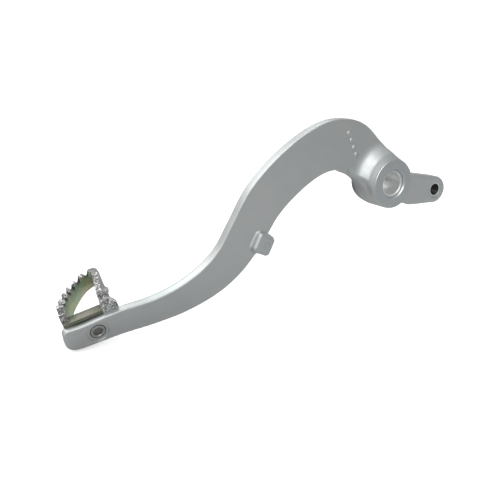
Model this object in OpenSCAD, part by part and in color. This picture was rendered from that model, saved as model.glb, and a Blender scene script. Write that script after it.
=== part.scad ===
// Rear brake pedal: forged lever with a pressed bush, a threaded insert and a bolted toothed step.
// Origin on the pivot axis at mid boss. +Y runs along the pivot bore, away from the frame side.
// The foot end points to -X, the rear arm to +X, and +Z is up. Millimetres.

/* [Reach] */
// distance from the pivot axis to the step screw, along X
foot_reach = 197; // [190:1:205]
// drop of the step screw below the pivot axis
foot_drop = 68; // [64:1:72]
// rise of the arm's middle line above the pivot axis, at the crown
crown_rise = 27; // [25:1:30]
// how far the foot's near face lies outward of the boss middle
foot_out = 5.5; // [4:0.5:7]

/* [Pivot boss] */
// diameter of the machined ring face
ring_d = 32.5; // [30:0.5:36]
// length of the boss along the pivot axis
boss_len = 28; // [26:1:32]
// bore pressed for the bush
bush_od = 18; // [17:0.5:20]
// running bore of the bush
bush_id = 15; // [12:0.5:16]
// how far the bush sits below the near ring face
bush_recess = 1.5; // [0.5:0.5:3]

/* [Rear arm] */
// distance from the pivot axis to the linkage hole, along X
rear_x = 48; // [44:1:52]
// distance of the linkage hole below the pivot axis
rear_drop = 10; // [8:1:12]
// radius of the rounded rear end
rear_r = 9.5; // [8:0.5:11]
// thickness of the rear arm
rear_t = 12; // [10:1:14]
// outer diameter of the threaded insert
insert_od = 9.6; // [9:0.2:11]
// minor diameter of the insert's thread
insert_id = 6.8; // [5:0.2:7]

/* [Arm] */
// width of the arm across its middle
arm_w = 28; // [26:0.5:30]
// thickness of the arm at its middle
arm_t = 8; // [7:0.5:9]
// corner radius on the near side of the arm
near_round = 0.8; // [0.5:0.1:1.6]
// corner radius on the outer side of the arm
far_round = 2.8; // [1.5:0.1:3]
// thickness of the arm at the foot end
foot_t = 6.5; // [6:0.5:8]
// twist of the foot end about the arm
foot_twist = 13; // [8:1:15]

/* [Stop lug] */
// length of the square lug along the arm
lug_len = 13.8; // [11.8:0.5:14.8]
// how far the lug stands off the near face
lug_rise = 4.5; // [3:0.5:6]

/* [Step] */
// thickness left in the foot where the base bar is let in
seat_t = 3.9; // [3.6:0.1:5]
// depth of the steel base bar, away from the arm
plate_t = 6; // [5.5:0.5:8]
// length of the base bar along the arm
plate_len = 30; // [28:0.5:32]
// height of the base bar
plate_h = 15; // [13:0.5:16]
// thickness of the toothed strip
strip_t = 4; // [3:0.5:4.5]
// height of the strip up to the tooth roots
strip_h = 10.2; // [8.7:0.5:11.7]
// height of a tooth
tooth_h = 3; // [2.5:0.5:4]
// inside depth of the loop, measured from the arm
loop_depth = 29.6; // [28:0.4:32.4]
// inside width of the loop along the arm
loop_width = 18.8; // [17.6:0.4:20.4]
// pitch of the base bar about its screw
plate_pitch = 2; // [0:1:4]
// pitch of the toothed loop about the screw
loop_pitch = 5.6; // [4:0.2:8]
// fall of the loop away from the arm
loop_fall = 5; // [2:1:6]
// turn of the loop towards the boss
loop_turn = 7.8; // [5:0.4:9]

/* [Screw] */
// outside diameter of the step screw's thread
screw_d = 5; // [4:1:5]
// head diameter of the step screw
head_d = 8.5; // [8:0.5:9]
// height of the screw head
head_h = 2.2; // [2:0.1:2.6]
// how far the head sits below the near face of the foot
head_sink = 0.4; // [0.2:0.2:0.8]
// across flats of the hexagon socket
hex_af = 5; // [3:0.5:5.5]

/* [Hidden] */
ring_r = ring_d / 2;
half_len = boss_len / 2;
rear_near = -half_len / 2;
// arm as drawn, from foot to boss: x, z, width, near face y, thickness, twist
drawn = [
    [-215.5, -70.8, 14.6, 6.4, 6.5, 13],
    [-204, -69.3, 15.2, 5.8, 6.5, 13],
    [-184, -65.1, 16.8, 4.8, 6.5, 13],
    [-164, -62.5, 17, 3.8, 7.2, 11],
    [-145, -57.5, 19, 2.6, 7.6, 8],
    [-127, -48.5, 21.8, 1.2, 8, 5],
    [-114, -37, 24, 0, 8, 2],
    [-103.5, -21.5, 26.4, -1.2, 8, 0],
    [-92.5, -4, 27.6, -2.4, 8.2, 0],
    [-77, 10.5, 28.4, -3, 8.6, 0],
    [-59, 22, 29.6, -3.6, 8.8, 0],
    [-42, 27, 32, -4.2, 9.2, 0],
    [-27, 24, 33.6, -4.6, 8.9, 0],
    [-11.9, 13.3, 28.8, -5.2, 12.6, 0],
    [0, 0, 29, -6, 15, 0]
];
// the drawn arm brought to the sizes above
function arm_depth(t) = t < 7 ? foot_t : t < 10 ? t * arm_t / 8 : t * half_len / 14;
stations = [for (s = drawn) [
    s[0] * foot_reach / 197,
    s[1] * (s[1] < 0 ? foot_drop / 68 : crown_rise / 27),
    s[2] * arm_w / 28,
    s[3] * (s[3] < 0 ? half_len / 14 : foot_out / 5.5),
    arm_depth(s[4]),
    s[5] * foot_twist / 13
]];
steps = 5;
rings = (len(stations) - 1) * steps;
foot_pos = [-foot_reach, foot_out, -foot_drop];
lug_pos = [-foot_reach * 0.478, 0, -foot_drop * 0.44];
head_seat = head_sink + head_h;
plate_top = plate_h * 0.707;
span = 2 * (loop_width + loop_depth + strip_t);
foot_rot = [foot_twist, -11.5, -3];
eps = 0.01;

function wrap(i) = min(max(i, 0), len(stations) - 1);
function blend(a, b, c, d, u) =
    0.5 * (2 * b + (c - a) * u + (2 * a - 5 * b + 4 * c - d) * u * u
    + (3 * b - a - 3 * c + d) * u * u * u);
function at(k) =
    let (i = min(floor(k / steps), len(stations) - 2), u = k / steps - i)
    blend(stations[wrap(i - 1)], stations[i], stations[i + 1], stations[wrap(i + 2)], u);
function heading(k) =
    let (a = at(max(k - 0.2, 0)), b = at(min(k + 0.2, rings)))
    atan2(b[1] - a[1], b[0] - a[0]);
function tip(k) = k >= steps ? 1 : sqrt(1 - pow(1 - (k + 0.25) / (steps + 0.25), 2.6));
function corner(cx, cy, r, a0, n) =
    [for (j = [0:n]) [cx + r * cos(a0 + j * 90 / n), cy + r * sin(a0 + j * 90 / n)]];
function section(w, t) =
    let (n = min(near_round, w / 2 - 0.3), f = min(far_round, w / 2 - 0.3), h = w / 2)
    concat(
        corner(h - n, n, n, -90, 2),
        corner(h - f, t - f, f, 0, 4),
        corner(f - h, t - f, f, 90, 4),
        corner(n - h, n, n, 180, 2));
function ring(k) =
    let (s = at(k), a = heading(k), w = s[2] * tip(k))
    [for (p = section(w, s[4]))
        let (b = p[0] * cos(s[5]) + p[1] * sin(s[5]), c = p[1] * cos(s[5]) - p[0] * sin(s[5]))
        [s[0] - b * sin(a), s[3] + c, s[1] + b * cos(a)]];

module arm_sweep() {
    m = 16;
    pts = [for (k = [0:rings]) each ring(k)];
    side = [for (k = [0:rings - 1], j = [0:m - 1])
        [k * m + j, k * m + (j + 1) % m, (k + 1) * m + (j + 1) % m, (k + 1) * m + j]];
    polyhedron(pts, concat(side, [[for (j = [m - 1:-1:0]) j]], [[for (j = [0:m - 1]) rings * m + j]]));
}

module along_y(y0, y1, r) {
    translate([0, y0, 0])
    rotate([-90, 0, 0])
    cylinder(h = y1 - y0, r = r, $fn = 96);
}

module boss_body() {
    rotate([-90, 0, 0])
    rotate_extrude($fn = 96)
    polygon([
        [0, -half_len],
        [ring_r - 0.4, -half_len],
        [ring_r, 0.4 - half_len],
        [ring_r + 0.6, 4 - half_len],
        [ring_r + 0.6, half_len * 0.2],
        [ring_r - 0.7, half_len * 0.65],
        [ring_r - 2, half_len * 0.9],
        [ring_r - 3.4, half_len],
        [0, half_len]]);
}

// cone that ramps up from the near face of the arm to the ring face, inside the arm's outline
module neck_ramp() {
    first = 9 * steps;
    left = [for (k = [first:rings]) let (s = at(k), a = heading(k), h = s[2] / 2)
        [s[0] - h * sin(a), s[1] + h * cos(a)]];
    right = [for (k = [rings:-1:first]) let (s = at(k), a = heading(k), h = s[2] / 2)
        [s[0] + h * sin(a), s[1] - h * cos(a)]];
    intersection() {
        rotate([90, 0, 0])
        translate([0, 0, -2])
        linear_extrude(half_len + 2)
        polygon(concat(left, right));
        translate([0, 0.7 - half_len, 0])
        rotate([-90, 0, 0])
        cylinder(h = half_len, r1 = ring_r + 0.8, r2 = ring_r + 0.8 + half_len * 1.12, $fn = 96);
    }
}

module rear_plan() {
    polygon([
        [ring_r * 0.37, ring_r * 0.723],
        [rear_x * 0.417, ring_r * 0.283],
        [rear_x + 1.6, rear_r - rear_drop - 0.1],
        [rear_x + 0.6, -rear_r - rear_drop],
        [rear_x / 2, 0.9 - rear_r - rear_drop],
        [ring_r * 0.49, -ring_r * 0.877]]);
}

module rear_arm() {
    translate([0, rear_near + rear_t, 0])
    rotate([90, 0, 0])
    linear_extrude(rear_t)
    rear_plan();
    translate([rear_x, 0, -rear_drop])
    along_y(rear_near, rear_near + rear_t, rear_r);
}

module stop_lug() {
    translate(lug_pos)
    rotate([0, 26, 0])
    difference() {
        translate([-lug_len / 2, -lug_rise - 1, -lug_len / 2])
        cube([lug_len, lug_rise + 7, lug_len]);
        for (a = [0:90:270])
            rotate([0, a, 0])
            translate([lug_len / 2, -lug_rise - 1, 0])
            rotate([0, 0, 45])
            cube([1.6, 1.6, 3 * lug_len], center = true);
        for (a = [45:90:315])
            rotate([0, a, 0])
            translate([lug_len / sqrt(2), 0, 0])
            cube([2.4, 3 * lug_len, 8], center = true);
    }
}

module foot_frame() {
    translate(foot_pos)
    rotate(foot_rot)
    children();
}

module plate_frame() {
    foot_frame()
    translate([0, seat_t, 0])
    rotate([0, -plate_pitch, 0])
    children();
}

module loop_frame() {
    foot_frame()
    translate([6.2, seat_t, plate_top - 3.9])
    rotate([-loop_fall, -loop_pitch, -loop_turn])
    children();
}

module lever() {
    color([0.62, 0.64, 0.65])
    difference() {
        union() {
            arm_sweep();
            boss_body();
            neck_ramp();
            rear_arm();
            stop_lug();
        }
        along_y(-half_len - 1, half_len + 1, bush_od / 2);
        translate([0, -half_len - eps, 0])
        rotate([-90, 0, 0])
        cylinder(h = 0.8, r1 = bush_od / 2 + 0.8, r2 = bush_od / 2, $fn = 96);
        translate([rear_x, 0, -rear_drop])
        along_y(rear_near - 1, rear_near + rear_t + 1, insert_od / 2);
        translate([rear_x, rear_near - eps, -rear_drop])
        rotate([-90, 0, 0])
        cylinder(h = 1, r1 = insert_od / 2 + 1, r2 = insert_od / 2, $fn = 96);
        foot_frame() {
            along_y(-1, head_sink + 0.5, head_d / 2 + 2);
            along_y(0, head_seat, head_d / 2 + 0.4);
            along_y(0, seat_t + 2, screw_d / 2 + 0.3);
            translate([-plate_len * 2 / 3, seat_t, -plate_h - 2])
            cube([plate_len * 4 / 3, foot_t, 2 * plate_h + 4]);
        }
    }
}

module pivot_bush() {
    color([0.7, 0.71, 0.72])
    difference() {
        along_y(bush_recess - half_len, half_len - bush_recess, bush_od / 2);
        along_y(-half_len - 1, half_len + 1, bush_id / 2);
    }
}

module linkage_insert() {
    color([0.08, 0.08, 0.08])
    translate([rear_x, 0, -rear_drop])
    difference() {
        along_y(rear_near + 1, rear_near + rear_t, insert_od / 2);
        along_y(rear_near - 1, rear_near + rear_t + 1, insert_id / 2);
    }
}

// quarter of the loop, a little flatter than an ellipse
function arc_pt(a, r1, r2) =
    let (k = 1 - 0.07 * pow(sin(2 * a), 2))
    [-r1 * k * cos(a), r2 * k * sin(a)];

module loop_outer() {
    a = loop_width + strip_t;
    b = loop_depth + strip_t;
    polygon(concat(
        [[7.6, -3], [8.9, -1], [8.7, 3.2], [6.6, 6.2], [5.3, 10], [4.8, 18], [3.6, b - 4], [2, b - 0.8]],
        [for (g = [90:-6:0]) arc_pt(g, a, b)]));
}

module loop_inner() {
    polygon(concat(
        [[-loop_width, -4], [0, -4], [0, 0]],
        [for (g = [90:-6:0]) arc_pt(g, loop_width, loop_depth)]));
}

module strip_solid(h) {
    linear_extrude(h)
    difference() {
        loop_outer();
        loop_inner();
    }
}

module step_base() {
    color([0.5, 0.52, 0.44])
    difference() {
        plate_frame()
        translate([-plate_len / 2 - 1, 0, plate_top - plate_h])
        cube([plate_len, plate_t, plate_h]);
        plate_frame()
        translate([-plate_len, -1, plate_top - plate_h * 0.31])
        cube([2 * plate_len, 2.6, plate_h * 0.18]);
        loop_frame()
        strip_solid(3 * strip_h);
        foot_frame()
        along_y(seat_t - 1, seat_t + plate_t + 1, screw_d / 2);
    }
}

module notch(p, g) {
    translate([p[0], p[1], strip_h])
    rotate([90, 0, g])
    translate([0, 0, -8])
    linear_extrude(16)
    polygon([[0, 0], [2.5, tooth_h + 1], [-2.5, tooth_h + 1]]);
}

module step_loop() {
    mid_a = loop_width + strip_t / 2;
    mid_b = loop_depth + strip_t / 2;
    color([0.45, 0.5, 0.38])
    difference() {
        loop_frame()
        difference() {
            strip_solid(strip_h + tooth_h);
            translate([-40, -20, strip_h])
            cube([60, 23, 20]);
            translate([4.6, -20, strip_h * 0.7])
            rotate([0, 24, 0])
            cube([20, 27.4, 20]);
            translate([-40, plate_t, 0])
            rotate([7, 0, 0])
            translate([0, 0, -20])
            cube([60, 2 * loop_depth, 20]);
            for (g = [13, 24.5, 36.5, 49, 63, 80])
                notch(arc_pt(g, mid_a, mid_b), atan2(mid_b * sin(g), -mid_a * cos(g)) - 90);
            for (q = [0:4])
                notch([-4.6, loop_depth * (0.2 + 0.158 * q)], 90);
        }
        foot_frame()
        translate([0, seat_t - span / 2, 0])
        cube(span, center = true);
    }
}

module step_screw() {
    color([0.6, 0.61, 0.6])
    foot_frame()
    difference() {
        union() {
            along_y(head_sink, head_seat, head_d / 2);
            along_y(head_seat - 0.2, seat_t + plate_t + 0.6, screw_d / 2);
        }
        translate([0, head_sink - eps, 0])
        rotate([-90, 0, 0])
        cylinder(h = head_h * 0.69, d = hex_af / cos(30), $fn = 6);
    }
}

lever();
pivot_bush();
linkage_insert();
step_base();
step_loop();
step_screw();
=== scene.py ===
import math

import bmesh
import bpy
import numpy as np
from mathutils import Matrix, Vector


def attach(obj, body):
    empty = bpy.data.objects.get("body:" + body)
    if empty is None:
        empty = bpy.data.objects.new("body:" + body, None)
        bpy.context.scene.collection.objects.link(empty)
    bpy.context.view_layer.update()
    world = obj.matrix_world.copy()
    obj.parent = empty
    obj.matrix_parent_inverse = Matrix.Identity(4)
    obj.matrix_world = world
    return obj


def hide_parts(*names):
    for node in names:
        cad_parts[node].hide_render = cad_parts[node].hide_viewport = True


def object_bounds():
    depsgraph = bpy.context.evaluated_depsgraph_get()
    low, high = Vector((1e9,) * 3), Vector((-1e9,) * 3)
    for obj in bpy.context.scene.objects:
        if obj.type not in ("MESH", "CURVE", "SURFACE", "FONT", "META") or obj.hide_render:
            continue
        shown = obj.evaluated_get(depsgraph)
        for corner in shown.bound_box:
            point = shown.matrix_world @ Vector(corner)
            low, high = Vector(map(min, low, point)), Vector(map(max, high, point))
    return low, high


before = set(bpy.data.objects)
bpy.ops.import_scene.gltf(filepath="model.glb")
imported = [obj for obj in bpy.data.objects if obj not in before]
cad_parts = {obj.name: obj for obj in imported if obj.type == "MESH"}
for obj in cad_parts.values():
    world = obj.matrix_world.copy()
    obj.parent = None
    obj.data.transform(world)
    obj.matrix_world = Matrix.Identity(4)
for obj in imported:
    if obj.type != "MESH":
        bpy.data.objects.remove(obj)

import openvdb
from mathutils import Matrix, Vector
from mathutils.bvhtree import BVHTree

cadBox = [[float(v) for v in corner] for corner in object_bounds()]
mm = 0.001
print("frame loaded, box", cadBox)

# camera of the photograph, from the ring face, the bore and the rear hole; place in mm
cameraSpot = dict(place=(-265.73, -283.59, 73.12), azimuth=-30.0, elevation=18.0,
                  lens=40.32, sensor=36, near=0.01, far=20)


def placeCamera(p):
    a, e = math.radians(p["azimuth"]), math.radians(p["elevation"])
    right = Vector((math.cos(a), math.sin(a), 0))
    back = Vector((math.sin(a) * math.cos(e), -math.cos(a) * math.cos(e), math.sin(e)))
    up = back.cross(right)
    data = bpy.data.cameras.new("photoCamera")
    data.lens = p["lens"]
    data.sensor_width = p["sensor"]
    data.clip_start = p["near"]
    data.clip_end = p["far"]
    cam = bpy.data.objects.new("photoCamera", data)
    m = Matrix((right, up, back)).transposed().to_4x4()
    m.translation = Vector(p["place"]) * mm
    cam.matrix_world = m
    bpy.context.scene.collection.objects.link(cam)
    bpy.context.scene.camera = cam


placeCamera(cameraSpot)


# materials

def toRgba(c):
    if isinstance(c, (int, float)):
        return (c, c, c, 1)
    return (*c, 1)


class Skin:
    def __init__(self, name, metallic):
        self.mat = bpy.data.materials.new(name)
        self.mat.use_nodes = True
        self.tree = self.mat.node_tree
        self.tree.nodes.clear()
        out = self.node("ShaderNodeOutputMaterial")
        self.shader = self.node("ShaderNodeBsdfPrincipled")
        self.shader.inputs["Metallic"].default_value = metallic
        self.link(self.shader, "BSDF", out, "Surface")
        self.coords = self.node("ShaderNodeTexCoord")

    def node(self, kind, **sets):
        n = self.tree.nodes.new(kind)
        for key, value in sets.items():
            setattr(n, key, value)
        return n

    def link(self, a, outName, b, inName):
        self.tree.links.new(a.outputs[outName], b.inputs[inName])

    def noise(self, scale, detail, rough):
        n = self.node("ShaderNodeTexNoise")
        n.inputs["Scale"].default_value = scale
        n.inputs["Detail"].default_value = detail
        n.inputs["Roughness"].default_value = rough
        self.link(self.coords, "Object", n, "Vector")
        return n

    def ramp(self, source, stops):
        r = self.node("ShaderNodeValToRGB")
        el = r.color_ramp.elements
        el[0].position, el[0].color = stops[0][0], toRgba(stops[0][1])
        el[1].position, el[1].color = stops[-1][0], toRgba(stops[-1][1])
        for at, tone in stops[1:-1]:
            el.new(at).color = toRgba(tone)
        self.link(source, "Fac", r, "Fac")
        return r

    def colour(self, source, stops):
        self.link(self.ramp(source, stops), "Color", self.shader, "Base Color")

    def roughness(self, source, stops):
        self.link(self.ramp(source, stops), "Color", self.shader, "Roughness")

    def relief(self, *layers):
        # bump layers of (height, strength, distance), the coarsest first
        below = None
        for height, strength, distance in layers:
            b = self.node("ShaderNodeBump")
            b.inputs["Strength"].default_value = strength
            b.inputs["Distance"].default_value = distance
            self.link(height, "Fac", b, "Height")
            if below is not None:
                self.link(below, "Normal", b, "Normal")
            below = b
        self.link(below, "Normal", self.shader, "Normal")


alloyStops = [(0.3, (0.535, 0.575, 0.575)), (0.5, (0.575, 0.6, 0.598)), (0.7, (0.6, 0.615, 0.62))]


def forgedAlloy():
    m = Skin("forgedAlloy", 0.92)
    m.colour(m.noise(26, 5, 0.6), alloyStops)
    m.roughness(m.noise(180, 6, 0.65), [(0.25, 0.36), (0.55, 0.43), (0.8, 0.5)])
    # blasted grain over a slightly uneven forging skin
    m.relief((m.noise(150, 3, 0.5), 0.25, 0.0004),
             (m.noise(900, 4, 0.6), 0.22, 0.00012),
             (m.noise(5200, 2, 0.5), 0.28, 0.00004))
    return m.mat


def turnedMetal(name, tone, rough, pitch, strength, metallic):
    # concentric tool marks about the Y axis
    m = Skin(name, metallic)
    wave = m.node("ShaderNodeTexWave", wave_type="RINGS", rings_direction="Y", wave_profile="SAW")
    wave.inputs["Scale"].default_value = pitch
    wave.inputs["Distortion"].default_value = 0.6
    wave.inputs["Detail"].default_value = 2
    m.link(m.coords, "Object", wave, "Vector")
    m.colour(m.noise(140, 5, 0.6), [(0.3, tuple(v * 0.93 for v in tone)), (0.7, tone)])
    m.roughness(m.noise(420, 4, 0.6), [(0.3, rough - 0.05), (0.7, rough + 0.07)])
    m.relief((wave, strength, 0.00003), (m.noise(6000, 2, 0.5), 0.1, 0.00002))
    return m.mat


def zincPlate(name, stops, rough, spots):
    # passivated zinc: the tint drifts, and small spots are as dark as the value spots
    m = Skin(name, 0.85)
    drift = m.ramp(m.noise(95, 5, 0.62), stops)
    speck = m.ramp(m.noise(1500, 4, 0.7), [(0.35, spots), (0.6, 1.0)])
    mix = m.node("ShaderNodeMix", data_type="RGBA", blend_type="MULTIPLY")
    mix.inputs[0].default_value = 1.0
    # 6 and 7 are the colour inputs of this node, and 2 is its colour output
    m.link(drift, "Color", mix, 6)
    m.link(speck, "Color", mix, 7)
    m.link(mix, 2, m.shader, "Base Color")
    m.roughness(m.noise(330, 5, 0.6), [(0.3, rough - 0.08), (0.7, rough + 0.1)])
    m.relief((m.noise(420, 4, 0.6), 0.3, 0.00015), (m.noise(3800, 3, 0.6), 0.3, 0.00004))
    return m.mat


def glintTeeth():
    # coarse cut steel whose colour noise holds painted glints and painted shade flecks
    m = Skin("glintTeeth", 0.85)
    m.colour(m.noise(1050, 3, 0.65), [(0.36, 0.1), (0.46, 0.3), (0.55, 0.45), (0.63, 0.95)])
    m.roughness(m.noise(600, 4, 0.6), [(0.3, 0.22), (0.7, 0.4)])
    m.relief((m.noise(800, 3, 0.6), 0.8, 0.0004), (m.noise(3500, 3, 0.6), 0.4, 0.00006))
    return m.mat


def blackOxideAndShade():
    # black oxide of the insert's thread; the step base's groove also takes it as a painted shadow gap
    m = Skin("blackOxideAndShade", 0.6)
    m.colour(m.noise(700, 4, 0.6), [(0.3, 0.008), (0.6, 0.03), (0.85, 0.1)])
    m.roughness(m.noise(1100, 4, 0.6), [(0.3, 0.32), (0.8, 0.5)])
    m.relief((m.noise(3200, 3, 0.6), 0.3, 0.00005))
    return m.mat


zincTones = dict(
    olive=[(0.28, (0.46, 0.62, 0.5)), (0.4, (0.58, 0.64, 0.4)), (0.5, (0.5, 0.64, 0.52)),
           (0.6, (0.66, 0.64, 0.43)), (0.72, (0.66, 0.68, 0.56))],
    bar=[(0.3, (0.17, 0.2, 0.14)), (0.48, (0.23, 0.22, 0.19)),
         (0.6, (0.2, 0.22, 0.16)), (0.72, (0.26, 0.24, 0.21))],
    grey=[(0.3, (0.16, 0.16, 0.155)), (0.5, (0.22, 0.22, 0.215)), (0.7, (0.3, 0.3, 0.295))],
    # the root tones are painted shade for the tooth roots
    root=[(0.3, (0.05, 0.055, 0.045)), (0.7, (0.13, 0.135, 0.12))],
    # the socket tones are painted shade for the inside of the hex socket
    socket=[(0.3, (0.2, 0.2, 0.19)), (0.7, (0.3, 0.3, 0.29))],
    screw=[(0.3, (0.38, 0.39, 0.37)), (0.7, (0.48, 0.49, 0.47))])
alloyMat = forgedAlloy()
machinedMat = turnedMetal("machinedAlloy", (0.57, 0.61, 0.625), 0.34, 900, 0.35, 1.0)
bushMat = turnedMetal("bushSteel", (0.8, 0.81, 0.8), 0.4, 1400, 0.25, 0.6)
oliveMat = zincPlate("oliveZinc", zincTones["olive"], 0.38, 0.72)
barMat = zincPlate("barZinc", zincTones["bar"], 0.4, 0.7)
greyMat = zincPlate("greyZinc", zincTones["grey"], 0.36, 0.6)
shadedSocketMat = zincPlate("shadedSocketZinc", zincTones["socket"], 0.4, 0.7)
screwMat = zincPlate("screwZinc", zincTones["screw"], 0.4, 0.7)
glintTeethMat = glintTeeth()
shadedRootMat = zincPlate("shadedRootZinc", zincTones["root"], 0.45, 0.6)
oxideAndShadeMat = blackOxideAndShade()
print("materials made")


# mesh helpers; shapes are made in mm and scaled when they are handed over

def makeObject(name, mesh, mats):
    obj = bpy.data.objects.new(name, mesh)
    for mat in mats:
        mesh.materials.append(mat)
    bpy.context.scene.collection.objects.link(obj)
    return obj


def faceOutward(mesh, weld=0.0):
    bm = bmesh.new()
    bm.from_mesh(mesh)
    if weld > 0:
        bmesh.ops.remove_doubles(bm, verts=bm.verts, dist=weld)
    bmesh.ops.recalc_face_normals(bm, faces=bm.faces)
    bm.to_mesh(mesh)
    bm.free()


def fromLists(name, verts, faces, mats=()):
    mesh = bpy.data.meshes.new(name)
    mesh.from_pydata([tuple(v) for v in verts], [], [tuple(f) for f in faces])
    mesh.validate()
    return makeObject(name, mesh, mats)


def lathe(name, profile, steps, place=None, mats=()):
    # profile of (radius, y) points turned about the Y axis, closed along the profile
    verts, faces = [], []
    n = len(profile)
    for i in range(steps):
        a = 2 * math.pi * i / steps
        verts += [(r * math.cos(a), y, r * math.sin(a)) for r, y in profile]
        j = (i + 1) % steps
        for k in range(n):
            following = (k + 1) % n
            faces.append((i * n + k, i * n + following, j * n + following, j * n + k))
    obj = fromLists(name, verts, faces, mats)
    faceOutward(obj.data, 1e-5)
    if place is not None:
        obj.data.transform(place)
    return obj


def extruded(name, low, high, mats, place):
    # two matching rings of points joined by sides and caps
    n = len(low)
    faces = [tuple(range(n)), tuple(range(2 * n - 1, n - 1, -1))]
    faces += [(i, i + n, (i + 1) % n + n, (i + 1) % n) for i in range(n)]
    obj = fromLists(name, low + high, faces, mats)
    faceOutward(obj.data)
    if place is not None:
        obj.data.transform(place)
    return obj


def prism(name, points, y0, y1, place=None, mats=()):
    # plan of (x, z) points run along Y
    return extruded(name, [(x, y0, z) for x, z in points], [(x, y1, z) for x, z in points], mats, place)


def slab(name, points, z0, z1, place=None, mats=()):
    # plan of (x, y) points run along Z
    return extruded(name, [(x, y, z0) for x, y in points], [(x, y, z1) for x, y in points], mats, place)


def box(x0, z0, x1, z1):
    return [(x0, z0), (x1, z0), (x1, z1), (x0, z1)]


def roundedPlan(x0, z0, x1, z1, r, n=8):
    pts = []
    corners = ((x1 - r, z1 - r), (x0 + r, z1 - r), (x0 + r, z0 + r), (x1 - r, z0 + r))
    for quarter, (cx, cz) in enumerate(corners):
        for k in range(n + 1):
            a = math.radians(90 * quarter + 90 * k / n)
            pts.append((cx + r * math.cos(a), cz + r * math.sin(a)))
    return pts


def applyAll(obj):
    deps = bpy.context.evaluated_depsgraph_get()
    deps.update()
    new = bpy.data.meshes.new_from_object(obj.evaluated_get(deps))
    old = obj.data
    obj.modifiers.clear()
    obj.data = new
    bpy.data.meshes.remove(old)


def boolean(obj, tool, mode="DIFFERENCE"):
    mod = obj.modifiers.new("cut", "BOOLEAN")
    mod.operation = mode
    mod.solver = "EXACT"
    mod.object = tool
    applyAll(obj)
    bpy.data.objects.remove(tool)


def joined(name, parts):
    bm = bmesh.new()
    for part in parts:
        bm.from_mesh(part.data)
    mesh = bpy.data.meshes.new(name)
    bm.to_mesh(mesh)
    bm.free()
    mats = list(parts[0].data.materials)
    for part in parts:
        bpy.data.objects.remove(part)
    return makeObject(name, mesh, mats)


def soften(obj, degrees):
    # smooth shading, with sharp edges where faces turn by more than this
    bm = bmesh.new()
    bm.from_mesh(obj.data)
    limit = math.radians(degrees)
    for f in bm.faces:
        f.smooth = True
    for e in bm.edges:
        e.smooth = len(e.link_faces) == 2 and e.calc_face_angle(0) < limit
    bm.to_mesh(obj.data)
    bm.free()


def bevelled(obj, width, segments, degrees):
    mod = obj.modifiers.new("edge", "BEVEL")
    mod.width = width
    mod.segments = segments
    mod.limit_method = "ANGLE"
    mod.angle_limit = math.radians(degrees)
    applyAll(obj)


def hand(obj, node, degrees):
    obj.data.transform(Matrix.Scale(mm, 4))
    soften(obj, degrees)
    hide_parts(node)
    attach(obj, "root")


def shift(x, y, z):
    return Matrix.Translation((x, y, z))


def turn(x, y, z):
    rx = Matrix.Rotation(math.radians(x), 4, "X")
    ry = Matrix.Rotation(math.radians(y), 4, "Y")
    rz = Matrix.Rotation(math.radians(z), 4, "Z")
    return rz @ ry @ rx


seatT = 3.9  # web left in front of the step
footFrame = shift(-197, 5.5, -68) @ turn(13, -11.5, -3)


# lever: a signed distance field for the forging, then machined faces cut into it

armPlan = dict(
    # x, z, width, near face y, thickness, twist along the arm, foot to boss
    stations=[
        (-215.5, -70.8, 14.6, 6.4, 6.5, 13), (-204, -69.3, 15.2, 5.8, 6.5, 13),
        (-184, -65.1, 16.8, 4.8, 6.5, 13), (-164, -62.5, 17, 3.8, 7.2, 11),
        (-145, -57.5, 19, 2.6, 7.6, 8), (-127, -48.5, 21.8, 1.2, 8, 5),
        (-114, -37, 24, 0, 8, 2), (-103.5, -21.5, 26.4, -1.2, 8, 0),
        (-92.5, -4, 27.6, -2.4, 8.2, 0), (-77, 10.5, 28.4, -3, 8.6, 0),
        (-59, 22, 29.6, -3.6, 8.8, 0), (-42, 27, 32, -4.2, 9.2, 0),
        (-27, 24, 33.6, -4.6, 8.9, 0), (-11.9, 13.3, 28.8, -5.2, 12.6, 0),
        (0, 0, 29, -6, 15, 0)],
    perStation=70, upperCorner=3.2, lowerCorner=6.6, nearRound=0.75, farRound=2.7,
    # the edges get rounder from 0.7 of the way on
    growAt=[0, 0.7, 0.9, 1], growBy=[0, 0, 0.5, 1], nearGrow=0.6, farGrow=1.2)
bossPlan = dict(
    half=14.0, y=(-14, 2.8, 9.1, 12.6, 14), r=(16.6, 16.6, 15.5, 14.2, 12.8),
    inset=0.5, edge=1.6, blend=2.8, ringR=16.25, boreR=9.0, chamfer=0.8,
    # turned faces: the near ring, and the smaller one at the far end
    nearEdge=0.35, nearDeep=4, farIn=4, farEdge=0.4, farDeep=3)
rampPlan = dict(slope=1.12, lip=1.0, lipRound=2.2, inset=0.45, edge=1.5, blend=2.6)
rearPlan = dict(
    centre=(48.0, -10.0), r=9.5, near=-7.0, thick=12.0, inset=0.05, edge=1.3, blend=2.6,
    upper=[(4, 10), (20, 4.6), (49.6, -0.6)], lower=[(48.6, -19.5), (24, -18.6), (6, -13)],
    # mouth of the hole, as (past the insert, below the face)
    insertR=4.8, mouth=[(2.6, -1), (1.9, 0.25), (1.0, 0.25), (0, 1.1)], through=20)
lugPlan = dict(
    centre=(-94.2, -29.9), turn=26, length=13.8, top=-5.5, depth=11.4,
    corner=3.0, draft=0.1, draftFrom=5, inset=0.05, edge=2.2, blend=1.5,
    ring=[(1.15, -1), (2.35, -1), (2.2, 0.4), (1.3, 0.4)], ringShift=(0.5, -0.3))
# crease where the ramp runs out above the flange
creasePlan = dict(line=[(-31, 10.5), (-26.9, 5.8), (-24, 1.5), (-20.5, -2)], depth=0.8, width=1.0, before=-2)
# small punch mark beside the neck
punchPlan = dict(centre=(-23.5, -8.4, 26.5), r=1.3)
gridPlan = dict(voxel=0.55, low=(-219, -17, -81), high=(61, 17, 47), band=3, batch=20000)


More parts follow.
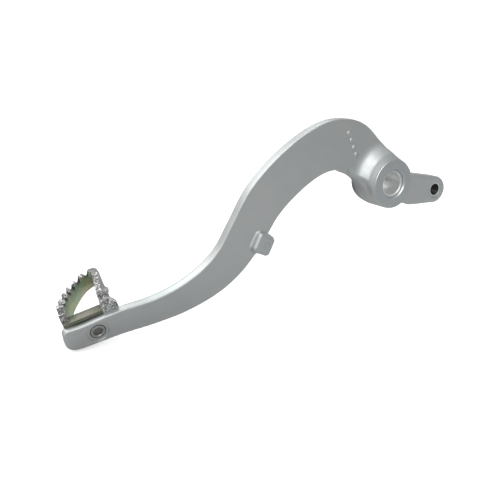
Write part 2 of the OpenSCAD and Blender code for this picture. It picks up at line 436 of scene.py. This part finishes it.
def spline(rows, steps):
    # uniform Catmull-Rom curve through the rows
    pts = np.array(rows, float)
    out = []
    last = len(pts) - 1
    for i in range(last):
        a, b = pts[max(i - 1, 0)], pts[i]
        c, d = pts[i + 1], pts[min(i + 2, last)]
        for u in np.linspace(0, 1, steps, endpoint=False):
            square, cube = 2 * a - 5 * b + 4 * c - d, 3 * b - a - 3 * c + d
            out.append(0.5 * (2 * b + (c - a) * u + square * u ** 2 + cube * u ** 3))
    out.append(pts[-1])
    return np.array(out)


def blend(a, b, k):
    # the union of two fields with a fillet of about k
    h = np.clip(0.5 + 0.5 * (b - a) / k, 0, 1)
    return b + (a - b) * h - k * h * (1 - h)


def rounded(a, b, r):
    # the overlap of two fields with its edge rounded by r
    qa, qb = a + r, b + r
    return np.hypot(np.maximum(qa, 0), np.maximum(qb, 0)) + np.minimum(np.maximum(qa, qb), 0) - r


def toLine(px, pz, start, end):
    # distance in the XZ plane to a straight line between two points
    (ax, az), (bx, bz) = start, end
    ex, ez = bx - ax, bz - az
    t = np.clip(((px - ax) * ex + (pz - az) * ez) / (ex * ex + ez * ez), 0, 1)
    return np.hypot(px - ax - t * ex, pz - az - t * ez)


def toPolygon(px, pz, corners):
    # signed distance to a polygon in the XZ plane
    best = np.full(px.shape, 1e9)
    inside = np.zeros(px.shape, bool)
    for start, end in zip(corners, corners[1:] + corners[:1]):
        best = np.minimum(best, toLine(px, pz, start, end))
        (ax, az), (bx, bz) = start, end
        slant = (bx - ax) * (pz - az) / (bz - az + 1e-12) + ax
        inside ^= ((az > pz) != (bz > pz)) & (px < slant)
    return np.where(inside, -best, best)


def upright(plan):
    # a plan in XZ repeated through the layers of Y
    return plan[:, None, :]


def nearestOn(centre, px, pz, batch):
    flat = np.stack([px.ravel(), pz.ravel()], 1)
    near = np.empty(len(flat), int)
    for k in range(0, len(flat), batch):
        q = flat[k:k + batch]
        d = (q[:, None, 0] - centre[None, :, 0]) ** 2 + (q[:, None, 1] - centre[None, :, 1]) ** 2
        near[k:k + batch] = d.argmin(1)
    return near.reshape(px.shape)


def armField(p, Y, px, pz, batch):
    line = spline(p["stations"], p["perStation"])
    centre = line[:, :2]
    tan = np.gradient(centre, axis=0)
    tan = tan / np.hypot(tan[:, 0], tan[:, 1])[:, None]
    run = np.concatenate([[0], np.cumsum(np.hypot(*np.diff(centre, axis=0).T))])
    near = nearestOn(centre, px, pz, batch)
    dx, dz = px - centre[near, 0], pz - centre[near, 1]
    across = -dx * tan[near, 1] + dz * tan[near, 0]
    s = run[near] + dx * tan[near, 0] + dz * tan[near, 1]
    at = np.interp(s, run, np.arange(len(run)))
    width, yNear, thick, twist = [np.interp(at, np.arange(len(run)), line[:, k]) for k in (2, 3, 4, 5)]
    plan = np.maximum(np.abs(across) - width / 2, s - run[-1])
    # position in the arm's own section, which twists towards the foot
    cs, sn = upright(np.cos(np.radians(twist))), upright(np.sin(np.radians(twist)))
    yy = Y - upright(yNear)
    a = upright(across) * cs - yy * sn
    b = yy * cs + upright(across) * sn
    corner = np.where(a > 0, p["upperCorner"], p["lowerCorner"])
    side = rounded(-upright(s), np.abs(a) - upright(width) / 2, corner)
    past = upright(np.maximum(s - run[-1], 0))
    side = np.where(past > 0, np.maximum(side, past), side)
    t = upright(thick)
    depth = np.abs(b - t / 2) - t / 2
    grow = upright(np.interp(at / len(run), p["growAt"], p["growBy"]))
    nearR, farR = p["nearRound"] + p["nearGrow"] * grow, p["farRound"] + p["farGrow"] * grow
    return rounded(side, depth, np.where(b < t / 2, nearR, farR)), plan


def rampField(p, boss, Y, hub, plan):
    # a cone about the pivot, kept inside the arm's outline
    k = p["slope"]
    cone = (hub - boss["ringR"] - p["lip"] - k * (Y + boss["half"])) / math.hypot(1, k)
    cone = rounded(cone, -Y - boss["half"] + p["lip"], p["lipRound"])
    cone = np.maximum(cone, Y)
    return rounded(upright(plan) + p["inset"], cone, p["edge"])


def rearField(p, Y, px, pz):
    cx, cz = p["centre"]
    plan = toPolygon(px, pz, p["upper"] + p["lower"])
    plan = np.minimum(plan, np.hypot(px - cx, pz - cz) - p["r"])
    mid = p["near"] + p["thick"] / 2
    return rounded(upright(plan), np.abs(Y - mid) - p["thick"] / 2 + p["inset"], p["edge"])


def lugField(p, Y, px, pz):
    cx, cz = p["centre"]
    t, half = math.radians(p["turn"]), p["length"] / 2
    qx = (px - cx) * math.cos(t) - (pz - cz) * math.sin(t)
    qz = (px - cx) * math.sin(t) + (pz - cz) * math.cos(t)
    plan = rounded(np.abs(qx) - half, np.abs(qz) - half, p["corner"])
    bottom = p["top"] + p["depth"]
    drafted = upright(plan) + p["draft"] * (bottom - Y - p["draftFrom"])
    depth = np.abs(Y - (p["top"] + bottom) / 2) - p["depth"] / 2 + p["inset"]
    return rounded(drafted, depth, p["edge"])


def forging(g):
    v = g["voxel"]
    X, Y, Z = [np.arange(lo, hi, v) for lo, hi in zip(g["low"], g["high"])]
    px, pz = np.meshgrid(X, Z, indexing="ij")
    X, Y, Z = X[:, None, None], Y[None, :, None], Z[None, None, :]
    hub = upright(np.hypot(px, pz))
    d, plan = armField(armPlan, Y, px, pz, g["batch"])
    d = blend(d, rampField(rampPlan, bossPlan, Y, hub, plan), rampPlan["blend"])
    p = bossPlan
    boss = rounded(hub - np.interp(Y, p["y"], p["r"]), np.abs(Y) - p["half"] + p["inset"], p["edge"])
    d = blend(d, boss, p["blend"])
    d = blend(d, rearField(rearPlan, Y, px, pz), rearPlan["blend"])
    d = blend(d, lugField(lugPlan, Y, px, pz), lugPlan["blend"])
    p = creasePlan
    fold = np.min([toLine(px, pz, *ends) for ends in zip(p["line"], p["line"][1:])], axis=0)
    d = d + p["depth"] * upright(np.exp(-(fold / p["width"]) ** 2)) * (Y < p["before"])
    cx, cy, cz = punchPlan["centre"]
    d = np.maximum(d, punchPlan["r"] - np.sqrt((X - cx) ** 2 + (Y - cy) ** 2 + (Z - cz) ** 2))
    reach = g["band"] * v
    grid = openvdb.FloatGrid(reach)
    grid.copyFromArray(np.clip(d, -reach, reach).astype(np.float32))
    verts, quads = grid.convertToQuads(0.0)[:2]
    return np.asarray(verts) * v + np.array(g["low"], float), np.asarray(quads)[:, ::-1]


def meshFromArrays(name, verts, quads, mats):
    mesh = bpy.data.meshes.new(name)
    mesh.vertices.add(len(verts))
    mesh.vertices.foreach_set("co", verts.astype(np.float32).ravel())
    mesh.loops.add(quads.size)
    mesh.loops.foreach_set("vertex_index", quads.astype(np.int32).ravel())
    mesh.polygons.add(len(quads))
    mesh.polygons.foreach_set("loop_start", np.arange(0, quads.size, 4, dtype=np.int32))
    mesh.update(calc_edges=True)
    mesh.validate()
    obj = makeObject(name, mesh, mats)
    faceOutward(mesh)
    # one light pass takes the grid's steps off the edges
    bm = bmesh.new()
    bm.from_mesh(mesh)
    bmesh.ops.smooth_vert(bm, verts=bm.verts, factor=0.5, use_axis_x=True, use_axis_y=True, use_axis_z=True)
    bm.to_mesh(mesh)
    bm.free()
    return obj


def makeCollars(p):
    # the turned faces at both ends of the boss
    h, b = p["half"], p["boreR"] - 1
    r, e, deep = p["ringR"], p["nearEdge"], p["nearDeep"]
    near = [(b, -h), (r - e, -h), (r, e - h), (r, deep - h), (b, deep - h)]
    r, e, deep = p["ringR"] - p["farIn"], p["farEdge"], p["farDeep"]
    far = [(b, h - deep), (r, h - deep), (r, h - e), (r - e, h), (b, h)]
    return joined("collars", [lathe("nearCollar", near, 128), lathe("farCollar", far, 128)])


# foot: spot face, counterbore and clearance hole of the screw, and the pocket that lets the step in
footCuts = dict(
    screw=[(0, -1.5), (6.7, -1.5), (6.5, -0.1), (6.2, 0.25), (6.2, 0.9),
           (4.65, 0.9), (4.65, 2.6), (2.8, 2.6), (2.8, 12), (0, 12)],
    pocket=(-26, -20, 20, 20, 0.6), pocketEnd=14)


def makeCuts():
    h, b, c = bossPlan["half"], bossPlan["boreR"], bossPlan["chamfer"]
    bore = [(0, -h - 1), (b + 1 + c, -h - 1), (b + c, -h), (b, c - h),
            (b, h - c), (b + c, h), (b + 1 + c, h + 1), (0, h + 1)]
    i, through = rearPlan["insertR"], rearPlan["through"]
    rear = [(i + r, y) for r, y in rearPlan["mouth"]]
    rear = [(0, rear[0][1])] + rear + [(i, through), (0, through)]
    lx, lz = np.add(lugPlan["centre"], lugPlan["ringShift"])
    rx, rz = rearPlan["centre"]
    return joined("cuts", [
        lathe("lugRing", lugPlan["ring"], 64, shift(lx, lugPlan["top"], lz)),
        lathe("boreCut", bore, 128),
        lathe("rearCut", rear, 96, shift(rx, rearPlan["near"], rz)),
        lathe("headCut", footCuts["screw"], 96, footFrame),
        prism("seatCut", roundedPlan(*footCuts["pocket"]), seatT, footCuts["pocketEnd"], footFrame)])


# radii and heights in mm that bound the turned and bored faces
machinedFaces = dict(nearR=16.1, nearY=-13.6, farR=11.9, farY=13.6, boreR=10.2, spotR=6.75, spotY=-5.6)


def isMachined(p, c):
    hub = math.hypot(c.x, c.z)
    rx, rz = rearPlan["centre"]
    spot = math.hypot(c.x - rx, c.z - rz) < p["spotR"] and c.y < p["spotY"]
    nearFace = hub < p["nearR"] and c.y < p["nearY"]
    farFace = hub < p["farR"] and c.y > p["farY"]
    return nearFace or farFace or spot or hub < p["boreR"]


def makeLever():
    verts, quads = forging(gridPlan)
    print("forging field", len(verts), "points")
    lever = meshFromArrays("forgedLever", verts, quads, [alloyMat, machinedMat])
    boolean(lever, makeCollars(bossPlan), "UNION")
    boolean(lever, makeCuts())
    skins = [int(isMachined(machinedFaces, f.center)) for f in lever.data.polygons]
    lever.data.polygons.foreach_set("material_index", skins)
    return lever


# plain raised pips where the forging carries its mark: (x, z) of each
pipPlan = dict(spots=[(-32.4, 34.0), (-30.0, 29.4), (-27.8, 24.8), (-25.8, 20.2)],
               r=1.9, flat=0.55, sink=0.1, start=-60)


def makePips(p, target):
    # each pip stands square on the near face below it
    tree = BVHTree.FromObject(target, bpy.context.evaluated_depsgraph_get())
    pips = []
    for x, z in p["spots"]:
        hit, normal = tree.ray_cast(Vector((x, p["start"], z)), Vector((0, 1, 0)))[:2]
        if normal.y > 0:
            normal = -normal
        lean = Vector((0, -1, 0)).rotation_difference(normal).to_matrix().to_4x4()
        bm = bmesh.new()
        bmesh.ops.create_uvsphere(bm, u_segments=28, v_segments=16, radius=p["r"])
        mesh = bpy.data.meshes.new("pip")
        bm.to_mesh(mesh)
        bm.free()
        place = Matrix.Translation(hit - normal * p["sink"])
        mesh.transform(place @ lean @ Matrix.Diagonal((1, p["flat"], 1, 1)))
        pips.append(makeObject("pip", mesh, []))
    return pips


lever = makeLever()
print("lever cut", len(lever.data.polygons), "faces")
bpy.context.view_layer.update()
lever = joined("forgedLever", [lever] + makePips(pipPlan, lever))
hand(lever, "lever", 42)
print("lever done")


# pivot bush and linkage insert

bushPlan = dict(outer=9.0, inner=7.5, half=12.5, lip=0.5, edge=0.3)


def makeBush(p):
    o, i, h, c, e = p["outer"], p["inner"], p["half"], p["lip"], p["edge"]
    prof = [(i, -h + c), (i + c, -h), (o - e, -h), (o, -h + e),
            (o, h - e), (o - e, h), (i + c, h), (i, h - c)]
    return lathe("pivotBush", prof, 144, None, [bushMat])


hand(makeBush(bushPlan), "pivot_bush", 25)

insertPlan = dict(centre=(48, 0, -10), outer=4.8, minor=3.4, major=4.0, mouth=4.15,
                  low=-6.0, high=5.0, lead=0.8, pitch=1.25, perTurn=8, steps=72)


def makeInsert(p):
    # sleeve with a real helical thread on its inside
    steps, low, high = p["steps"], p["low"], p["high"]
    threaded = high - low - 2 * p["lead"]
    count = int(threaded / p["pitch"] * p["perTurn"])
    rows = [[(p["outer"], low)] * steps, [(p["mouth"], low)] * steps]
    for k in range(count + 1):
        y = low + p["lead"] + threaded * k / count
        crest = [abs(2 * ((y / p["pitch"] + s / steps) % 1.0) - 1) for s in range(steps)]
        rows.append([(p["minor"] + (p["major"] - p["minor"]) * c, y) for c in crest])
    rows += [[(p["mouth"], high)] * steps, [(p["outer"], high)] * steps]
    verts, faces = [], []
    n = len(rows)
    for k, row in enumerate(rows):
        following = (k + 1) % n
        for s, (r, y) in enumerate(row):
            a = 2 * math.pi * s / steps
            verts.append((r * math.cos(a), y, r * math.sin(a)))
            t = (s + 1) % steps
            faces.append((k * steps + s, k * steps + t, following * steps + t, following * steps + s))
    obj = fromLists("linkageInsert", verts, faces, [oxideAndShadeMat, bushMat])
    for f in obj.data.polygons:
        f.material_index = int(min(abs(f.center.y - low), abs(f.center.y - high)) < 0.05)
    obj.data.transform(shift(*p["centre"]))
    faceOutward(obj.data)
    return obj


hand(makeInsert(insertPlan), "linkage_insert", 35)
print("bush and insert done")


# step: base plate, toothed loop and its screw

platePlan = dict(thick=6.0, high=15.0, top=15 * 0.707, left=-16, right=14, corner=0.8, hole=2.5,
                 groove=(4.65, 1.95), grooveDeep=1.6, shadowGapHalf=13.5, pitch=-2,
                 gap=0.02, notchGap=0.03, bevel=(0.3, 2, 30))
loopPlan = dict(depth=29.6, width=18.8, strip=4.0, high=10.2, tooth=3.0, square=0.07, legX=-4.613,
                place=(6.2, seatT, platePlan["top"] - 3.9), turn=(-5, -5.6, -7.8), underTilt=7,
                # teeth on the bend by angle, and on the right leg by distance
                arcTeeth=(13, 24.5, 36.5, 49, 63, 80),
                legTeeth=[29.6 * (0.2 + 0.158 * k) for k in range(5)],
                # half profile of the gap between two teeth, with a small flat at its root
                gap=[(0.3, 0), (1.15, 1.3), (2.55, 3.9)],
                flatTo=3, shoulder=(4.6, 0.7, 24), trim=0.01, bevel=(0.28, 3, 28))
plateFrame = footFrame @ shift(0, seatT, 0) @ turn(0, platePlan["pitch"], 0)
loopFrame = footFrame @ shift(*loopPlan["place"]) @ turn(*loopPlan["turn"])


def arcPoint(p, g, r1, r2):
    # point of the bend at g degrees, a little squarer than an ellipse
    t = math.radians(g)
    k = 1 - p["square"] * math.sin(2 * t) ** 2
    return -r1 * k * math.cos(t), r2 * k * math.sin(t)


def stripPlan(p, grow=0.0):
    # outline of the bent strip seen from above: out along the outer side, back along the inner side
    a, b = p["width"] + p["strip"] + grow, p["depth"] + p["strip"] + grow
    outer = [(7.6, -3), (8.5, -1.8), (8.9, -0.4), (9, 1.4), (8.7, 3.2), (7.7, 4.9),
             (6.5, 6.4), (5.8, 8), (5.4, 10), (5.1, 14), (4.8, 18), (4.4, b - 8),
             (3.7, b - 4), (3, b - 1.8), (2.1, b - 0.8), (1, b - 0.2)]
    outer = [(x + grow, y) for x, y in outer]
    outer += [arcPoint(p, g, a, b) for g in range(90, -1, -3)]
    inner = [arcPoint(p, g, p["width"] - grow, p["depth"] - grow) for g in range(0, 91, 3)]
    return outer + inner + [(-grow, 0), (-grow, -4)]


def makePlate(p):
    top = p["top"]
    plan = roundedPlan(p["left"], top - p["high"], p["right"], top, p["corner"])
    plate = prism("stepBase", plan, p["gap"], p["thick"], plateFrame, [barMat, oxideAndShadeMat])
    boolean(plate, slab("baseNotch", stripPlan(loopPlan, p["notchGap"]), -p["gap"], 30, loopFrame))
    low, high = top - p["groove"][0], top - p["groove"][1]
    boolean(plate, prism("baseGroove", box(-30, low, 30, high), -1, p["grooveDeep"], plateFrame))
    hole = [(0, -2), (p["hole"], -2), (p["hole"], 9), (0, 9)]
    boolean(plate, lathe("plateHole", hole, 64, footFrame @ shift(0, seatT, 0)))
    bevelled(plate, *p["bevel"])
    # groove faces near the middle take the black material as a painted shadow gap
    back = plateFrame.inverted()
    for f in plate.data.polygons:
        c = back @ f.center
        paintedShadowGap = 0.1 < c.y < p["grooveDeep"] + 0.05 and low - 0.05 < c.z < high + 0.05
        f.material_index = int(paintedShadowGap and abs(c.x) < p["shadowGapHalf"])
    return plate


def toothGaps(p):
    # x, y and turn of each gap: round the bend, then down the right leg
    a, b = p["width"] + p["strip"] / 2, p["depth"] + p["strip"] / 2
    gaps = []
    for g in p["arcTeeth"]:
        t = math.radians(g)
        normal = math.degrees(math.atan2(b * math.sin(t), -a * math.cos(t)))
        gaps.append((*arcPoint(p, g, a, b), normal - 90))
    return gaps + [(p["legX"], y, 90) for y in p["legTeeth"]]


def makeLoop(p):
    high, top = p["high"], p["high"] + p["tooth"]
    loop = slab("stepLoop", stripPlan(p), 0, top, None, [glintTeethMat, oliveMat, greyMat, shadedRootMat])
    boolean(loop, slab("loopFlat", box(-40, -20, 20, p["flatTo"]), high, top + 9))
    x, part, slope = p["shoulder"]
    boolean(loop, slab("shoulder", box(0, 0, 20, 27.4), 0, 20, shift(x, -20, high * part) @ turn(0, slope, 0)))
    under = shift(0, platePlan["thick"], 0) @ turn(p["underTilt"], 0, 0)
    boolean(loop, slab("underside", box(-40, -0.05, 20, 60), -20, 0, under))
    left = [(-x, z) for x, z in p["gap"]]
    gap = left[:1] + p["gap"] + left[:0:-1]
    for x, y, g in toothGaps(p):
        boolean(loop, prism("notch", gap, -8, 8, shift(x, y, high) @ turn(0, 0, g)))
    bm = bmesh.new()
    bm.from_mesh(loop.data)
    bmesh.ops.dissolve_limit(bm, angle_limit=math.radians(1), verts=bm.verts, edges=bm.edges)
    bm.to_mesh(loop.data)
    bm.free()
    loop.data.polygons.foreach_set("material_index", [faceSkin(f, p) for f in loop.data.polygons])
    loop.data.transform(loopFrame)
    trimFrame = footFrame @ shift(0, seatT + p["trim"], 0)
    boolean(loop, prism("frontCut", box(-60, -40, 60, 40), -30, 0, trimFrame))
    bevelled(loop, *p["bevel"])
    return loop


def isInside(f, p):
    # upright face on the inner side of the bend or of the legs
    c = f.center
    x, y = c.x / (p["width"] + 1.0), max(c.y, 0) / (p["depth"] + 1.0)
    return abs(f.normal.z) <= 0.3 and c.x < 0.5 and math.hypot(x, y) < 1 and c.y > 0.02


def faceSkin(f, p):
    # 0 facets with painted glints, 1 olive inside, 2 plain outer rib, 3 tooth roots with painted shade
    c = f.center
    if isInside(f, p):
        return 1
    if p["high"] - 0.1 < c.z < p["high"] + 1.2 and c.y > 3.1:
        return 3
    if c.y > 7 and (c.x > 3.3 or c.x > 1 and f.normal.z > 0.9):
        return 2
    return 0


screwPlan = dict(head=4.25, top=0.4, seat=2.6, shank=2.5, end=10.5, point=0.6, flats=5.0, deep=1.5,
                 # rim of the head as (past its radius, below its top); socket mouth as (past the corners, y)
                 rim=[(-0.55, 0), (-0.2, 0.15), (0, 0.5)],
                 mouth=[(0.35, 0.0), (0.05, 0.52), (-0.25, 0.8)])


def makeScrew(p):
    r, t, s, e = p["head"], p["top"], p["shank"], p["end"]
    prof = [(0, t)] + [(r + x, t + y) for x, y in p["rim"]]
    prof += [(r, p["seat"]), (s, p["seat"]), (s, e - p["point"]), (s - p["point"], e), (0, e)]
    screw = lathe("stepScrew", prof, 96, None, [screwMat, shadedSocketMat])
    cr = p["flats"] / math.sqrt(3)
    hexa = [(cr * math.cos(math.radians(60 * k)), cr * math.sin(math.radians(60 * k))) for k in range(6)]
    cone = [(cr + x, y) for x, y in p["mouth"]]
    cone = [(0, cone[0][1])] + cone + [(0, cone[-1][1])]
    boolean(screw, prism("socket", hexa, t - 1, t + p["deep"]))
    boolean(screw, lathe("socketCone", cone, 48))
    # faces inside the hex socket take the darker zinc as painted shade
    for f in screw.data.polygons:
        c = f.center
        f.material_index = int(math.hypot(c.x, c.z) < cr * 0.95 and t + 0.3 < c.y < t + 2)
    screw.data.transform(footFrame)
    return screw


hand(makePlate(platePlan), "step_base", 32)
hand(makeLoop(loopPlan), "step_loop", 32)
hand(makeScrew(screwPlan), "step_screw", 30)
print("step done")


# floor, sky and lights

studio = dict(
    floorDrop=0.0015, floorSize=4, floorTone=0.9, glow=0.42,
    # what the metal sees of the floor is darker behind the part, so that its far edges stand out
    fade=(0.05, 0.16), fadeTones=(0.5, 0.06),
    skyTowards=(-0.62, 0.12, 0.77), sky=[(0.0, 0.3), (0.35, 0.38), (0.6, 0.52), (0.8, 0.8), (1.0, 1.0)])


def byCamera(tree, others, seen, out):
    # the camera sees one shader and every other ray the other
    path = tree.nodes.new("ShaderNodeLightPath")
    mix = tree.nodes.new("ShaderNodeMixShader")
    tree.links.new(path.outputs["Is Camera Ray"], mix.inputs[0])
    tree.links.new(others.outputs[0], mix.inputs[1])
    tree.links.new(seen.outputs[0], mix.inputs[2])
    tree.links.new(mix.outputs[0], out.inputs[0])


def makeFloor(p):
    low, far = cadBox[0][2] - p["floorDrop"], p["floorSize"]
    corners = [(x, y, low) for x, y in box(-far, -far, far, far)]
    floor = fromLists("floor", corners, [(0, 1, 2, 3)])
    mat = bpy.data.materials.new("paleFloor")
    mat.use_nodes = True
    tree = mat.node_tree
    tree.nodes.clear()
    add, tie = tree.nodes.new, tree.links.new
    spot = add("ShaderNodeTexCoord")
    split = add("ShaderNodeSeparateXYZ")
    fade = add("ShaderNodeMapRange")
    fade.inputs["From Min"].default_value, fade.inputs["From Max"].default_value = p["fade"]
    fade.inputs["To Min"].default_value, fade.inputs["To Max"].default_value = p["fadeTones"]
    dim = add("ShaderNodeBsdfDiffuse")
    tie(spot.outputs["Object"], split.inputs[0])
    tie(split.outputs["Y"], fade.inputs["Value"])
    tie(fade.outputs["Result"], dim.inputs["Color"])
    pale = add("ShaderNodeBsdfDiffuse")
    pale.inputs["Color"].default_value = toRgba(p["floorTone"])
    glow = add("ShaderNodeEmission")
    glow.inputs["Strength"].default_value = p["glow"]
    seen = add("ShaderNodeAddShader")
    tie(pale.outputs[0], seen.inputs[0])
    tie(glow.outputs[0], seen.inputs[1])
    byCamera(tree, dim, seen, add("ShaderNodeOutputMaterial"))
    floor.data.materials.append(mat)


def makeSky(p):
    world = bpy.data.worlds.new("studioSky")
    bpy.context.scene.world = world
    world.use_nodes = True
    tree = world.node_tree
    tree.nodes.clear()
    add, tie = tree.nodes.new, tree.links.new
    coords = add("ShaderNodeTexCoord")
    dot = add("ShaderNodeVectorMath")
    dot.operation = "DOT_PRODUCT"
    dot.inputs[1].default_value = Vector(p["skyTowards"]).normalized()
    tie(coords.outputs["Generated"], dot.inputs[0])
    half = add("ShaderNodeMapRange")
    half.inputs["From Min"].default_value = -1
    half.inputs["From Max"].default_value = 1
    tie(dot.outputs["Value"], half.inputs["Value"])
    ramp = add("ShaderNodeValToRGB")
    el = ramp.color_ramp.elements
    el[0].position, el[0].color = p["sky"][0][0], toRgba(p["sky"][0][1])
    el[1].position, el[1].color = p["sky"][-1][0], toRgba(p["sky"][-1][1])
    for at, level in p["sky"][1:-1]:
        el.new(at).color = toRgba(level)
    tie(half.outputs["Result"], ramp.inputs["Fac"])
    soft = add("ShaderNodeBackground")
    tie(ramp.outputs["Color"], soft.inputs["Color"])
    white = add("ShaderNodeBackground")
    white.inputs["Color"].default_value = (1, 1, 1, 1)
    byCamera(tree, soft, white, add("ShaderNodeOutputWorld"))


# place, target, size and watts of each lamp
lamps = dict(
    overheadBack=((-0.45, 0.55, 0.7), (-0.08, 0, 0), (0.8, 0.6), 2.15),
    rightBack=((0.22, 0.6, 0.78), (-0.15, 0, -0.05), (0.3, 0.3), 0.9),
    rightLow=((0.5, 0.1, 0.02), (-0.06, 0, -0.01), (0.3, 0.2), 0.9),
    leftFront=((-0.62, -0.78, 0.42), (-0.02, 0, 0.02), (0.3, 0.5), 1.22),
    upperFront=((-0.3, -0.7, 0.85), (-0.04, 0, 0), (0.55, 0.5), 1.7))


def makeLamp(name, place, target, size, power):
    data = bpy.data.lights.new(name, "AREA")
    data.shape = "ELLIPSE"
    data.size, data.size_y = size
    data.energy = power
    obj = bpy.data.objects.new(name, data)
    obj.location = place
    obj.rotation_euler = (Vector(target) - Vector(place)).to_track_quat("-Z", "Y").to_euler()
    bpy.context.scene.collection.objects.link(obj)


makeFloor(studio)
makeSky(studio)
for name, row in lamps.items():
    makeLamp(name, *row)
print("studio lit")

scene = bpy.context.scene
scene.view_settings.view_transform = "Standard"
scene.view_settings.look = "None"
